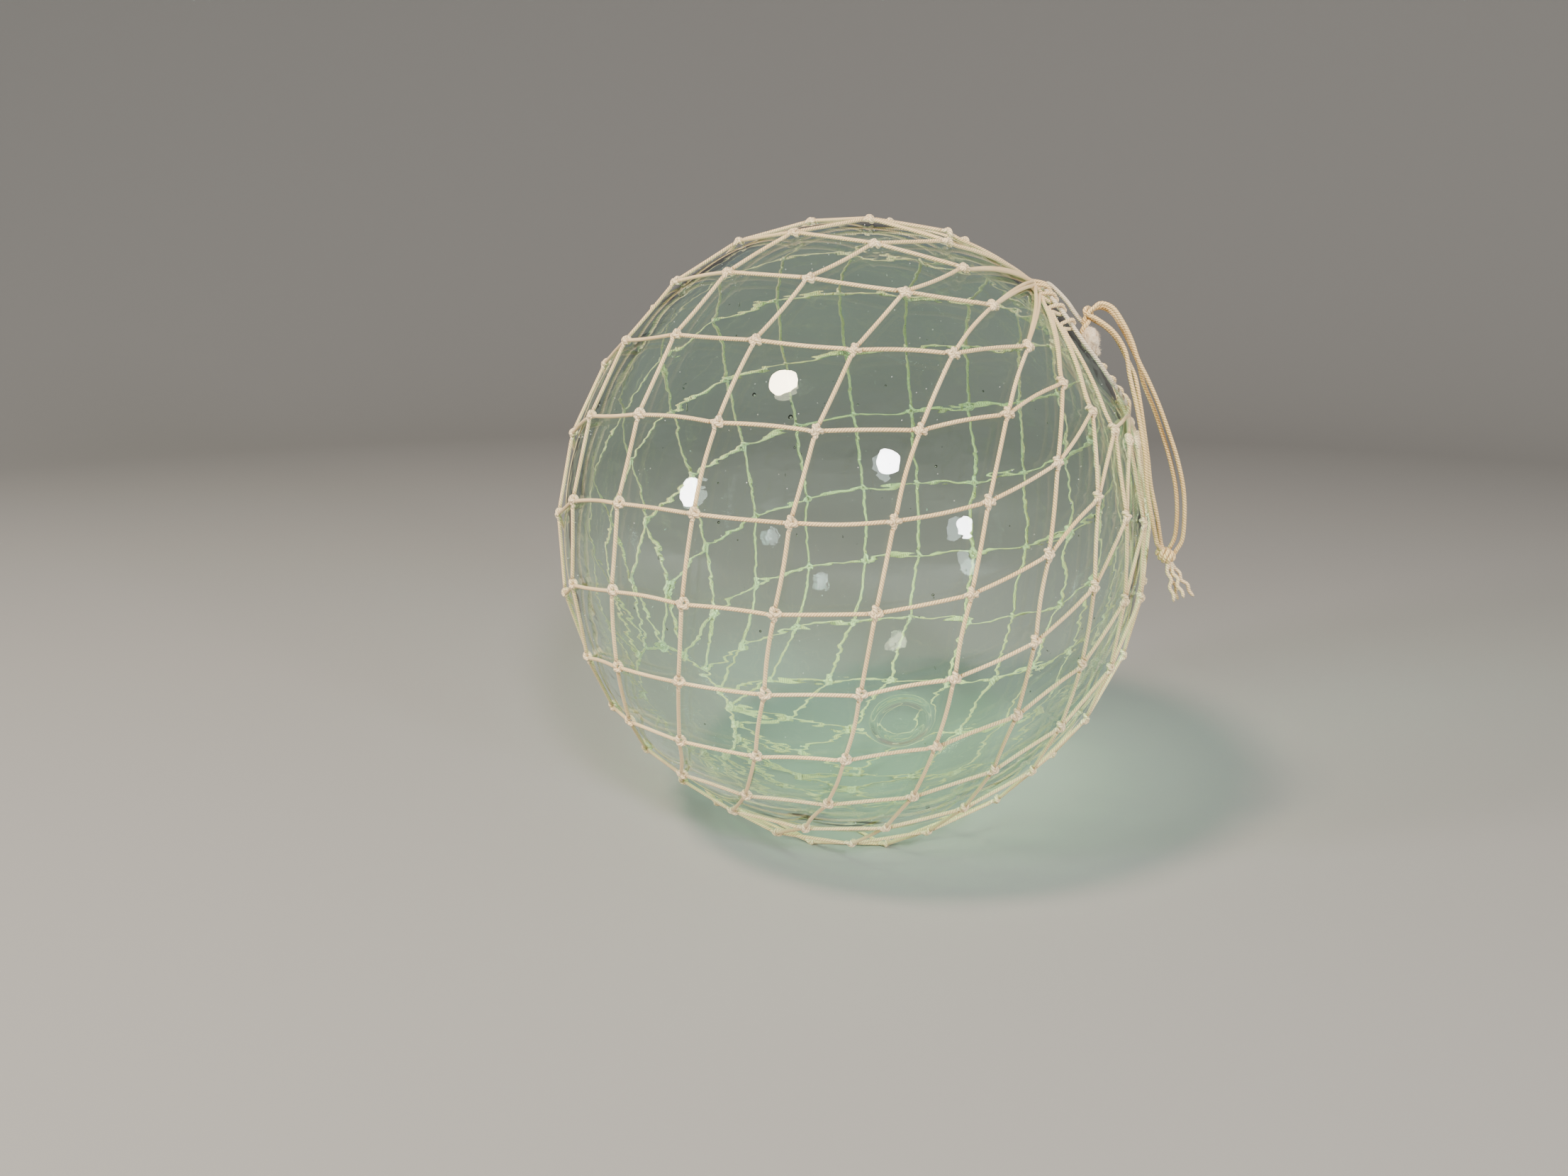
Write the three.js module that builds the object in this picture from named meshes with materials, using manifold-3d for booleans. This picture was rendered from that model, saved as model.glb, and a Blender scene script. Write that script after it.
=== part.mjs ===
import * as THREE from "three";
import { mergeVertices } from "three/addons/utils/BufferGeometryUtils.js";
import Module from "manifold-3d";

// A netted glass fishing float: a blown glass ball in a knotted diamond mesh net, which a
// drawstring gathers at the mouth, with a doubled hanging loop tied to the drawstring's knot.
// Millimetres, +Z up. The ball lies on the slack underside of its net.

// The glass
const BALL_WIDTH = 300;
const BALL_HEIGHT = 316;
const SEAL_DIAMETER = 26;
const SEAL_HEIGHT = 1.4;
const SEAL_HEADING = -84;
const SEAL_ELEVATION = -20;

// The net: its twine, one side of a mesh, and the angle that an open mesh keeps at the widest row
const TWINE = 1.8;
const MESH_SIDE = 40;
const MESH_OPENING = 83;
const KNOT_WIDTH = 5;
const KNOT_RISE = 2.4;
const CLOSEST_STRANDS = 44;
const MOUTH_TO_FIRST_ROW = 69;
const FAR_RING_RADIUS = 40;

// How the net sits on the ball, in degrees: its axis, its turn, its twist and its uneven stretch
const NET_HEADING = -20;
const NET_ELEVATION = 45.6;
const NET_TURN = -8.4;
const NET_TWIST = 9.2;
const STRETCH = 13.2;
const STRETCH_TURN = 18.7;

// The slack part of the net, which lies on the ground under the ball
const GROUND_GAP = 4;
const PRESSED_DEPTH = 0.9;
const SLACK_DROP = 12;
const SLACK_SPREAD = 24;

// The drawstring, its knot and the loop's twine
const DRAWSTRING = 2;
const MOUTH_RADIUS = 34;
const MOUTH_HEADING = -15;
const MOUTH_ELEVATION = 39.2;
const DRAWSTRING_RAISE = 1;
const STOPPER_TURN = 88;
const BARE_START = 70;
const BARE_END = 168;
const COLUMN_AFTER_BARE = 15;
const STOPPER_LENGTH = 12;
const STOPPER_WIDTH = 7.4;
const STOPPER_INSET = 3.5;
const LOOP_TWINE = 2;
const LANYARD_KNOT_LENGTH = 11;
const LANYARD_KNOT_WIDTH = 7.6;
const LOOP_STEP = 6.6;

// The hanging loop's places are given for a ball of this size, and move with the ball's own size
const LOOP_FOR_WIDTH = 300;
const LOOP_FOR_HEIGHT = 316;

// The smallest gap that two separate pieces keep, and the sides of a plain twine
const CLEARANCE = 0.35;
const CORD_SIDES = 8;

const radians = THREE.MathUtils.degToRad;
const wasm = await Module();
wasm.setup();

const glassMaterial = new THREE.MeshStandardMaterial({ color: 0x8fb8a4, roughness: 0.05, metalness: 0 });
const twineMaterial = new THREE.MeshStandardMaterial({ color: 0xd8c4a0, roughness: 0.9, metalness: 0 });
const cordMaterial = new THREE.MeshStandardMaterial({ color: 0xd2b078, roughness: 0.9, metalness: 0 });
const fibreMaterial = new THREE.MeshStandardMaterial({ color: 0xe2d8c4, roughness: 0.95, metalness: 0 });

const halfAxes = new THREE.Vector3(BALL_WIDTH / 2, BALL_WIDTH / 2, BALL_HEIGHT / 2);

// Directions and places on the glass
function direction(heading, elevation) {
  const level = Math.cos(radians(elevation));
  return new THREE.Vector3(
    level * Math.cos(radians(heading)),
    level * Math.sin(radians(heading)),
    Math.sin(radians(elevation)),
  );
}

function axisFrame(axis) {
  const upward = new THREE.Vector3(0, 0, 1);
  const first = upward.addScaledVector(axis, -axis.z).normalize();
  const second = new THREE.Vector3().crossVectors(axis, first);
  return { axis, first, second };
}

function aroundAxis(frame, fromAxis, turn) {
  return new THREE.Vector3()
    .addScaledVector(frame.axis, Math.cos(fromAxis))
    .addScaledVector(frame.first, Math.sin(fromAxis) * Math.cos(turn))
    .addScaledVector(frame.second, Math.sin(fromAxis) * Math.sin(turn));
}

function onGlass(towards, lift) {
  const surface = towards.clone().multiply(halfAxes);
  const normal = surface.clone().divide(halfAxes).divide(halfAxes).normalize();
  return { place: surface.addScaledVector(normal, lift), normal };
}

// Turning three.js geometry into manifold solids and back
function toSolid(geometry) {
  const bare = geometry.clone();
  bare.deleteAttribute("normal");
  bare.deleteAttribute("uv");
  const welded = mergeVertices(bare, 1e-4);
  return new wasm.Manifold(new wasm.Mesh({
    numProp: 3,
    vertProperties: Float32Array.from(welded.attributes.position.array),
    triVerts: Uint32Array.from(welded.index.array),
  }));
}

function toGeometry(solid) {
  const mesh = solid.getMesh();
  const geometry = new THREE.BufferGeometry();
  geometry.setAttribute("position", new THREE.BufferAttribute(Float32Array.from(mesh.vertProperties), 3));
  geometry.setIndex(new THREE.BufferAttribute(Uint32Array.from(mesh.triVerts), 1));
  return geometry;
}

function facesToGeometry(points, faces) {
  const geometry = new THREE.BufferGeometry();
  geometry.setAttribute("position", new THREE.Float32BufferAttribute(points.flatMap((p) => p.toArray()), 3));
  geometry.setIndex(faces.flat());
  return geometry;
}

// The blown ball with the round seal that closed its blowing hole
function makeGlass() {
  const ball = new THREE.SphereGeometry(1, 32, 14);
  ball.rotateX(Math.PI / 2);
  ball.scale(halfAxes.x, halfAxes.y, halfAxes.z);
  const profile = [
    new THREE.Vector2(0, -4),
    new THREE.Vector2(SEAL_DIAMETER / 2, -4),
    new THREE.Vector2(SEAL_DIAMETER / 2, 0),
    new THREE.Vector2(SEAL_DIAMETER / 2 - 2.5, SEAL_HEIGHT),
    new THREE.Vector2(0, SEAL_HEIGHT),
  ];
  const seal = new THREE.LatheGeometry(profile, 16);
  const seat = onGlass(direction(SEAL_HEADING, SEAL_ELEVATION), 0);
  const turn = new THREE.Quaternion().setFromUnitVectors(new THREE.Vector3(0, 1, 0), seat.normal);
  seal.applyQuaternion(turn);
  seal.translate(seat.place.x, seat.place.y, seat.place.z);
  return toGeometry(toSolid(ball).add(toSolid(seal)));
}

// The rows of knots run round the net's axis, each one mesh further from the mouth
const knotReach = KNOT_WIDTH / 2;
const knotRadius = BALL_WIDTH / 2 + 3;
const meshAngle = MESH_SIDE / knotRadius;
const widestHalfMesh = MESH_SIDE * Math.sin(radians(MESH_OPENING / 2));
const meshesAround = Math.round((Math.PI * knotRadius) / widestHalfMesh);
const halfMeshTurn = Math.PI / meshesAround;
const farRingAngle = Math.PI - FAR_RING_RADIUS / knotRadius;
const netFrame = axisFrame(direction(NET_HEADING, NET_ELEVATION));
const mouthFrame = axisFrame(direction(MOUTH_HEADING, MOUTH_ELEVATION));

function rowAngles() {
  const angles = [MOUTH_TO_FIRST_ROW / knotRadius];
  while (farRingAngle - angles.at(-1) > 1.2 * meshAngle) {
    const above = angles.at(-1);
    const halfWidth = halfMeshTurn * Math.sin(above + meshAngle / 2);
    angles.push(above + Math.sqrt(Math.max(meshAngle ** 2 - halfWidth ** 2, (meshAngle / 3) ** 2)));
  }
  return angles;
}

function columnTurn(column, fromAxis) {
  const even = radians(NET_TURN) + column * halfMeshTurn + radians(NET_TWIST) * Math.cos(fromAxis);
  return even + radians(STRETCH) * Math.sin(even + radians(STRETCH_TURN));
}

// The longest strand decides how high the knots stand for straight strands to clear the glass
const longestStrand = MESH_SIDE * (1 + radians(STRETCH) * Math.sin(radians(MESH_OPENING / 2)));
const tightestRadius = Math.min(halfAxes.x ** 2 / halfAxes.z, halfAxes.z ** 2 / halfAxes.x);
const strandFloor = TWINE / 2;
const strandTop = 0.6 * TWINE;
const liftFor = (strand) => strand ** 2 / (8 * tightestRadius) + strandFloor + CLEARANCE;
const knotLift = liftFor(longestStrand);
const groundLevel = -BALL_HEIGHT / 2 - GROUND_GAP;

// A knot on the underside drops by the net's slack until its back is pressed on the ground
function dropped(knot) {
  const fromBelow = THREE.MathUtils.radToDeg(knot.normal.angleTo(new THREE.Vector3(0, 0, -1)));
  const drop = SLACK_DROP * Math.exp(-((fromBelow / SLACK_SPREAD) ** 2));
  const restingHeight = groundLevel + KNOT_RISE - PRESSED_DEPTH;
  knot.place.z = Math.max(knot.place.z - drop, Math.min(restingHeight, knot.place.z));
  return knot;
}

// The bights are gathered round the mouth, and leave the drawstring bare from its stopper knot on
function bightTurn(column) {
  const columns = 2 * meshesAround;
  const order = ((column - COLUMN_AFTER_BARE + columns) % columns) / 2;
  const spacing = (360 - (BARE_END - BARE_START)) / (meshesAround - 1);
  return radians(BARE_END + order * spacing);
}

// The longest strand from the first row of knots to the mouth
function longestToMouth(fromAxis) {
  const lengths = [];
  for (let column = 0; column < 2 * meshesAround; column += 2) {
    const knot = aroundAxis(netFrame, fromAxis, columnTurn(column, fromAxis));
    for (const beside of [-1, 1]) {
      const bight = aroundAxis(mouthFrame, MOUTH_RADIUS / knotRadius, bightTurn(column + beside));
      lengths.push(knotRadius * knot.angleTo(bight));
    }
  }
  return Math.max(...lengths);
}

function drawstringLift(turn) {
  const raised = Math.max(0, Math.cos(turn - radians(STOPPER_TURN)));
  return DRAWSTRING / 2 + CLEARANCE + DRAWSTRING_RAISE * raised;
}

// A closed lattice of knots joined by three sided strands, welded as it is laid out
class Lattice {
  constructor() {
    this.points = [];
    this.faces = [];
    this.knots = [];
  }

  addKnot(knot) {
    knot.links = [];
    this.knots.push(knot);
    return knot;
  }

  link(one, other) {
    one.links.push({ other });
    other.links.push({ other: one });
  }

  point(place) {
    this.points.push(place);
    return this.points.length - 1;
  }

  quad(a, b, c, d) {
    this.faces.push([a, b, c], [a, c, d]);
  }

  // Directions of a knot's links in the plane of the glass, in order round its normal
  orderLinks(knot) {
    const start = new THREE.Vector3();
    for (const link of knot.links) {
      link.way = link.way ?? link.other.place.clone().sub(knot.place);
      link.way = link.way.clone().projectOnPlane(knot.normal).normalize();
    }
    start.copy(knot.links[0].way);
    const side = new THREE.Vector3().crossVectors(knot.normal, start);
    for (const link of knot.links) {
      link.turn = Math.atan2(link.way.dot(side), link.way.dot(start));
    }
    knot.links.sort((a, b) => a.turn - b.turn);
    this.spreadLinks(knot);
  }

  // Strands that leave a knot almost side by side are set apart where they leave it
  spreadLinks(knot) {
    const count = knot.links.length;
    for (let i = 0; i < count; i++) {
      const link = knot.links[i];
      const next = knot.links[(i + 1) % count];
      const gap = (next.turn - link.turn + 2 * Math.PI) % (2 * Math.PI);
      const apart = Math.max(0, radians(CLOSEST_STRANDS) - gap) / 2;
      link.way.applyAxisAngle(knot.normal, -apart);
      next.way.applyAxisAngle(knot.normal, apart);
    }
  }

  shapeKnot(knot) {
    this.orderLinks(knot);
    const reach = Math.max(knotReach, (0.6 * TWINE) / Math.tan(radians(CLOSEST_STRANDS / 2)));
    for (const link of knot.links) {
      const left = new THREE.Vector3().crossVectors(knot.normal, link.way).multiplyScalar(TWINE / 2);
      const middle = knot.place.clone().addScaledVector(link.way, link.capped ? knotReach : reach);
      const low = middle.clone().addScaledVector(knot.normal, -strandFloor);
      link.top = this.point(middle.clone().addScaledVector(knot.normal, strandTop));
      link.left = this.point(low.clone().add(left));
      link.right = this.point(low.clone().sub(left));
      if (link.capped) this.faces.push([link.top, link.left, link.right].reverse());
    }
    const apex = this.point(knot.place.clone().addScaledVector(knot.normal, KNOT_RISE));
    const under = [];
    knot.links.forEach((link, i) => {
      const next = knot.links[(i + 1) % knot.links.length];
      this.quad(link.left, next.right, next.top, link.top);
      this.faces.push([link.top, next.top, apex]);
      under.push(link.right, link.left);
    });
    for (let i = 1; i < under.length - 1; i++) this.faces.push([under[0], under[i + 1], under[i]]);
  }

  shapeStrand(a, b) {
    this.quad(a.left, b.right, b.left, a.right);
    this.quad(b.right, a.left, a.top, b.top);
    this.quad(a.right, b.left, b.top, a.top);
  }

  geometry() {
    for (const knot of this.knots) this.shapeKnot(knot);
    for (const knot of this.knots) {
      for (const link of knot.links) {
        if (link.capped || link.done) continue;
        const back = link.other.links.find((l) => l.other === knot && !l.done);
        this.shapeStrand(link, back);
        link.done = true;
        back.done = true;
      }
    }
    return facesToGeometry(this.points, this.faces);
  }
}

function netRow(lattice, row, fromAxis, frame, lift, turnOf = columnTurn) {
  const knots = [];
  for (let half = 0; half < meshesAround; half++) {
    const column = 2 * half + (Math.abs(row) % 2);
    const turn = turnOf(column, fromAxis);
    const seat = onGlass(aroundAxis(frame, fromAxis, turn), lift(turn));
    knots.push(lattice.addKnot(dropped({ ...seat, column })));
  }
  return knots;
}

function joinRows(lattice, upper, lower, lowerStartsOdd) {
  upper.forEach((knot, i) => {
    const before = lowerStartsOdd ? i - 1 : i;
    const count = lower.length;
    lattice.link(knot, lower[(before + count) % count]);
    lattice.link(knot, lower[(before + 1) % count]);
  });
}

// At the mouth each bight of the net folds over the drawstring, its nose towards the middle
function noseOfBight(bight) {
  const inward = mouthFrame.axis.clone().multiply(halfAxes).sub(bight.place);
  inward.projectOnPlane(bight.normal).normalize();
  for (const turn of [-0.7, 0.7]) {
    bight.links.push({ capped: true, way: inward.clone().applyAxisAngle(bight.normal, turn) });
  }
}

function makeNet() {
  const lattice = new Lattice();
  const angles = rowAngles();
  const firstLift = liftFor(longestToMouth(angles[0]));
  const liftOf = (row) => (row ? knotLift : Math.max(knotLift, firstLift));
  const rows = angles.map((fromAxis, row) => netRow(lattice, row, fromAxis, netFrame, () => liftOf(row)));
  for (let row = 0; row + 1 < rows.length; row++) {
    joinRows(lattice, rows[row], rows[row + 1], row % 2 === 0);
  }
  const overDrawstring = DRAWSTRING / 2 + CLEARANCE + strandFloor;
  const bightLift = (turn) => Math.max(drawstringLift(turn) + overDrawstring, liftOf(0));
  const bights = netRow(lattice, -1, MOUTH_RADIUS / knotRadius, mouthFrame, bightLift, bightTurn);
  joinRows(lattice, rows[0], bights, true);
  bights.forEach(noseOfBight);
  const farRing = netRow(lattice, rows.length, farRingAngle, netFrame, () => knotLift);
  joinRows(lattice, rows.at(-1), farRing, rows.length % 2 === 1);
  farRing.forEach((knot, i) => lattice.link(knot, farRing[(i + 1) % farRing.length]));
  const ground = new THREE.BoxGeometry(BALL_WIDTH, BALL_WIDTH, BALL_WIDTH);
  ground.translate(0, 0, groundLevel - BALL_WIDTH / 2);
  return toGeometry(toSolid(lattice.geometry()).subtract(toSolid(ground)));
}

// Plain twine along a route, and a closed ring of it
function twineAlong(points, diameter, steps, sides = CORD_SIDES) {
  const path = new THREE.CatmullRomCurve3(points, false, "centripetal");
  const section = new THREE.Shape();
  for (let i = 0; i < sides; i++) {
    const turn = (2 * Math.PI * i) / sides;
    const x = (diameter / 2) * Math.cos(turn);
    const y = (diameter / 2) * Math.sin(turn);
    if (i) section.lineTo(x, y);
    else section.moveTo(x, y);
  }
  section.closePath();
  return new THREE.ExtrudeGeometry(section, { steps, bevelEnabled: false, extrudePath: path });
}

function ringOfTwine(placeAt, diameter, steps, sides) {
  const points = [];
  const faces = [];
  for (let i = 0; i < steps; i++) {
    const { place, normal } = placeAt(i / steps);
    const ahead = placeAt((i + 1) / steps).place.sub(placeAt((i - 1 + steps) / steps % 1).place).normalize();
    const across = new THREE.Vector3().crossVectors(ahead, normal).normalize();
    const outward = new THREE.Vector3().crossVectors(across, ahead);
    for (let j = 0; j < sides; j++) {
      const turn = (2 * Math.PI * (j + 0.5)) / sides;
      points.push(place.clone()
        .addScaledVector(across, (diameter / 2) * Math.cos(turn))
        .addScaledVector(outward, (diameter / 2) * Math.sin(turn)));
      const next = (i + 1) % steps;
      const side = (j + 1) % sides;
      const [a, b, c, d] = [i * sides + j, i * sides + side, next * sides + side, next * sides + j];
      faces.push([a, c, b], [a, d, c]);
    }
  }
  return facesToGeometry(points, faces);
}

function bead(place, along, length, width, detail = 1) {
  const shape = new THREE.IcosahedronGeometry(1, detail);
  shape.scale(width / 2, length / 2, width / 2);
  shape.applyQuaternion(new THREE.Quaternion().setFromUnitVectors(new THREE.Vector3(0, 1, 0), along));
  shape.translate(place.x, place.y, place.z);
  return shape;
}

// Places on the hanging loop, as points in space
function places(list) {
  const wider = BALL_WIDTH / LOOP_FOR_WIDTH;
  const fit = new THREE.Vector3(wider, wider, BALL_HEIGHT / LOOP_FOR_HEIGHT);
  return list.map(([x, y, z]) => new THREE.Vector3(x, y, z).multiply(fit));
}

// The drawstring's ring round the mouth, its fat frayed stopper knot and the eye that holds the loop
const [eyeTop] = places([[104.4, -58, 112.3]]);

function mouthRingAt(share) {
  const turn = 2 * Math.PI * share;
  const towards = aroundAxis(mouthFrame, MOUTH_RADIUS / knotRadius, turn);
  return onGlass(towards, drawstringLift(turn));
}

function makeDrawstring() {
  const ring = toSolid(ringOfTwine(mouthRingAt, DRAWSTRING, 30, 6));
  const share = STOPPER_TURN / 360;
  const towards = aroundAxis(mouthFrame, (MOUTH_RADIUS - STOPPER_INSET) / knotRadius, radians(STOPPER_TURN));
  const middle = onGlass(towards, STOPPER_WIDTH / 2 + 2 * CLEARANCE).place;
  const along = mouthRingAt(share - 0.04).place.sub(mouthRingAt(share + 0.04).place);
  const stopper = toSolid(bead(middle, along.normalize(), STOPPER_LENGTH, STOPPER_WIDTH));
  const eye = toSolid(twineAlong([middle, middle.clone().lerp(eyeTop, 0.5), eyeTop], 1.6 * DRAWSTRING, 3, 6));
  return toGeometry(ring.add(stopper).add(eye));
}

// Routes of the hanging loop's four legs, from the eye to the knot that ties their ends
const loopLegs = {
  loop_leg_left_front: places([
    [108.4, -61, 111.4], [111.2, -62, 109.5], [114.8, -63, 106.6], [118.4, -64, 102.2],
    [121.4, -65, 96.3], [123.3, -67, 86.2], [126.2, -69.6, 74.4], [128.5, -73, 62.2], [130.7, -75.4, 49.6],
    [132.4, -75, 37], [136, -74, 22.5], [140.5, -70, 10],
  ]),
  loop_leg_left_back: places([
    [108.8, -57, 110.5], [112.2, -58, 108.5], [116.2, -59, 105.1], [119.7, -60, 100.2],
    [122.4, -61.5, 94.8], [126.5, -64, 86], [128.9, -66.5, 74.8], [131, -69, 62.2], [133.2, -71, 49],
    [135.3, -71.6, 36.6], [139.6, -70.8, 21.8], [143.4, -67.2, 9.6],
  ]),
  loop_leg_right_front: places([
    [105.9, -61, 116.1], [108.8, -62, 118.5], [113.9, -63, 117], [119.3, -63.5, 110.3],
    [123.9, -64, 102], [127.2, -64.5, 93.7], [132.4, -65.5, 84.1], [138, -67, 72.4], [143.3, -68, 59.7],
    [147.8, -68.5, 48.1], [151.8, -68.6, 34], [153.6, -68, 20.3], [153.9, -66.2, 8.8], [152, -64.6, 3.6],
  ]),
  loop_leg_right_back: places([
    [106.5, -57, 115.7], [110.3, -58, 116.7], [115.2, -58.5, 114.6], [120.3, -59, 107.8],
    [125, -59.5, 99.6], [128.8, -60.5, 91.6], [131.6, -61.5, 82.4], [136.9, -63, 70.8], [141.7, -64, 58.6],
    [145.8, -65, 46.8], [149.4, -65.4, 33.4], [151.2, -64.8, 19.9], [151.4, -63, 9.6], [150, -62, 5],
  ]),
};

// The overhand knot that ties the legs, with their four short ends
const [lanyardPlace] = places([[146.7, -65.5, 2]]);
const tailEnds = places([[152.3, -67, -20.8], [155.4, -64, -20.4], [156, -69.5, -18.2], [162.1, -66, -18.3]]);

function makeLanyardKnot() {
  const along = new THREE.Vector3(0.8, 0, -0.6);
  let knot = toSolid(bead(lanyardPlace, along, LANYARD_KNOT_LENGTH, LANYARD_KNOT_WIDTH));
  for (const end of tailEnds) {
    const half = lanyardPlace.clone().lerp(end, 0.55).add(new THREE.Vector3(-0.8, 0, -0.6));
    knot = knot.add(toSolid(twineAlong([lanyardPlace, half, end], LOOP_TWINE, 3, 6)));
  }
  return toGeometry(knot);
}

// The part, stood with the underside of its net at height zero
const part = new THREE.Group();

function addPiece(name, geometry, material) {
  const mesh = new THREE.Mesh(geometry, material);
  mesh.name = name;
  part.add(mesh);
  return mesh;
}

const body = [
  addPiece("glass_float", makeGlass(), glassMaterial),
  addPiece("net", makeNet(), twineMaterial),
  addPiece("drawstring", makeDrawstring(), fibreMaterial),
];
for (const [name, points] of Object.entries(loopLegs)) {
  const length = new THREE.CatmullRomCurve3(points, false, "centripetal").getLength();
  addPiece(name, twineAlong(points, LOOP_TWINE, Math.round(length / LOOP_STEP)), cordMaterial);
}
addPiece("loop_knot", makeLanyardKnot(), cordMaterial);

const bounds = new THREE.Box3();
for (const mesh of body) bounds.expandByObject(mesh);
const centre = bounds.getCenter(new THREE.Vector3());
part.position.set(-centre.x, -centre.y, -bounds.min.z);
part.updateMatrixWorld(true);

export default part;
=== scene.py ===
import math
import random

import bmesh
import bpy
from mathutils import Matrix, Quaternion, Vector, noise


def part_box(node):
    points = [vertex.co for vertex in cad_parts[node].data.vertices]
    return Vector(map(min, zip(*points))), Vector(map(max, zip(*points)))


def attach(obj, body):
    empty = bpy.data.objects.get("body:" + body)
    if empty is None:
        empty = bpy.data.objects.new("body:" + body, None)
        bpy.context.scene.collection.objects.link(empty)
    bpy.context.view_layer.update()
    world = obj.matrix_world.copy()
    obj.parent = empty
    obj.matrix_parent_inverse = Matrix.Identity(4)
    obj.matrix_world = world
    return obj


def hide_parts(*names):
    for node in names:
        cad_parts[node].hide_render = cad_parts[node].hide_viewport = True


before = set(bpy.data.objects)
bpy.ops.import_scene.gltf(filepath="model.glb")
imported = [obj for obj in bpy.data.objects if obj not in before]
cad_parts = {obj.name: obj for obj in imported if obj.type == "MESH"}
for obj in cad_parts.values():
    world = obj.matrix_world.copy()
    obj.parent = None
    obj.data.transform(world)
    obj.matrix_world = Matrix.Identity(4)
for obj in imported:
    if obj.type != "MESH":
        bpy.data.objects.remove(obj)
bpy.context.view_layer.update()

# A netted glass fishing float, in metres from the ball's middle until a piece is placed, and degrees
MM = 0.001
HALF_AXES = Vector((0.150, 0.150, 0.158))
lowest, highest = (Vector(corner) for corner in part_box("glass_float"))
BALL_MIDDLE = (lowest + highest) / 2
GROUND = -0.162

# The camera, which sees the ball from a little above
CAMERA_FROM_BALL = Vector((-0.0352, -0.5949, 0.1177))
CAMERA_TILT = 14
LENS, SENSOR_WIDTH = 26.04, 36

# The glass: its wall and waves, its seal, the seeds in the wall and the dust on it
WALL = 0.006
BALL_FINENESS = 7
SEAL_HEADING, SEAL_ELEVATION = -84, -20
SEAL_RADIUS = 0.013
SEAL_REACH, SEAL_FINE_REACH = SEAL_RADIUS * 1.4, SEAL_RADIUS * 1.45
SEAL_RISE = 0.0011
SEAL_SOFTNESS = 0.0006
SEAL_RIM_RADIUS, SEAL_RIM_WIDTH = SEAL_RADIUS * 0.86, 0.0016
SEAL_DISH, SEAL_RIM, SEAL_LUMPS = 0.55, 0.35, 0.1
SEAL_LUMP_WAVES = 180
SEAL_CLOUD = 0.35
SEAL_CLOUD_WIDTH = 0.0022
OUTER_WAVE, INNER_WAVE = 0.0002, 0.0008
BROAD_WAVES, FINE_WAVES = 2.1, 9.0
FINE_WAVE_SHARE = 0.16
SEEDS = 190
SEED_DEPTHS = (0.0015, 0.0045)
SMALLEST_SEED, LARGEST_SEED, SEED_SPREAD = 0.00022, 0.0011, 0.00018
LONG_SEEDS, LONG_SEED_SHAPE = 0.2, (0.8, 0.8, 2.2)
DUST_SPECKS = 2200
DUST_ON_SIDES = 0.35
DUST_LIFT = 0.0003
DUST_SIZES = (0.00009, 0.00024)

# The net, as the solids have it: the twist leans its columns, the stretch widens them on one side
TWINE_RADIUS = 0.0009
MESH_SIDE = 0.040
MESH_OPENING = 83
KNOT_RADIUS = 0.153
MOUTH_TO_FIRST_ROW = 0.069
FAR_RING_RADIUS = 0.040
NET_HEADING, NET_ELEVATION = -20, 45.6
NET_TURN, NET_TWIST = -8.4, 9.2
STRETCH, STRETCH_TURN = 13.2, 18.7
KNOT_SEAT = 0.0023
STRAND_LIFT = 0.00098
STRAND_BOW = 0.0009
BIGHT_LEG_LIFT = STRAND_LIFT + 0.0006
KNOT_EXIT = 0.0033
KNOT_TILT = 14
KNOT_SIZES = (0.94, 1.08)

# The net's slack under the ball, which lies on the ground
SLACK_LIFT = 0.0031
SLACK_DROP = 0.012
SLACK_SPREAD = 24
RESTING_HEIGHT = GROUND + 0.0015

# The drawstring, its stopper and the hanging loop
CORD_RADIUS = 0.001
LEG_RADIUS, LEG_END_RADIUS, TAIL_RADIUS = CORD_RADIUS * 0.97, CORD_RADIUS * 0.98, CORD_RADIUS * 0.84
LANYARD_STRAND, STOPPER_STRAND = CORD_RADIUS * 1.1, CORD_RADIUS * 1.2
MOUTH_HEADING, MOUTH_ELEVATION = -15, 39.2
MOUTH_RADIUS = 0.034
DRAWSTRING_LIFT = 0.0022
DRAWSTRING_RAISE = 0.0017
DRAWSTRING_POINTS = 260
STOPPER_TURN = 88
STOPPER_INSET = 0.0035
STOPPER_LIFT = 0.0060
STOPPER_LENGTH, STOPPER_WIDTH = 0.0118, 0.0084
STOPPER_LEAN = Vector((0.2, 0, 0.7))
STOPPER_FIBRES = 2600
TUFT_PLACE = Vector((0.0027, -0.001, -0.0048))
TUFT_LENGTH, TUFT_WIDTH = 0.0052, 0.0032
TUFT_FIBRES = 420
EYE_FOOT = Vector((-0.0032, 0, 0.0026))
EYE_RADIUS = 0.0032
EYE_TWIST = 0.0105
LOOP_LEAD = 0.0012
LANYARD_LENGTH, LANYARD_WIDTH = 0.0105, 0.0076
LANYARD_TURNS, STOPPER_TURNS = 1.8, 1.2
TAIL_FIBRES = 16
FIBRE_LENGTHS = (0.0006, 0.0014)
TAIL_FIBRE_RADIUS, STOPPER_FIBRE_RADIUS = 0.00005, 0.00007

# The turns round the mouth between which the drawstring is bare, and the number of the next bight
BARE_START, BARE_END = 70, 168
BIGHT_AFTER_BARE = 7

# Laid twine: its plies, the millimetres from one ply to the next along it, and a cord's section
PLIES = 3
LAY_SPACING = 1.3
LAID = {"sides": 12, "lobes": PLIES, "depth": 0.09}

# How finely curves are drawn, and how far apart the rings of each kind of tube are
CURVE_PARTS, POINTS_PER_TURN = 12, 14
CORD_STEP, LEG_STEP, TAIL_STEP = 0.0006, 0.00033, 0.0004
TAUT_STRAND_STEP = 0.0007
STRAND_STEP, BIGHT_STEP, SHEET_BEND_STEP = 0.0022, 0.0009, 0.00075

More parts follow.
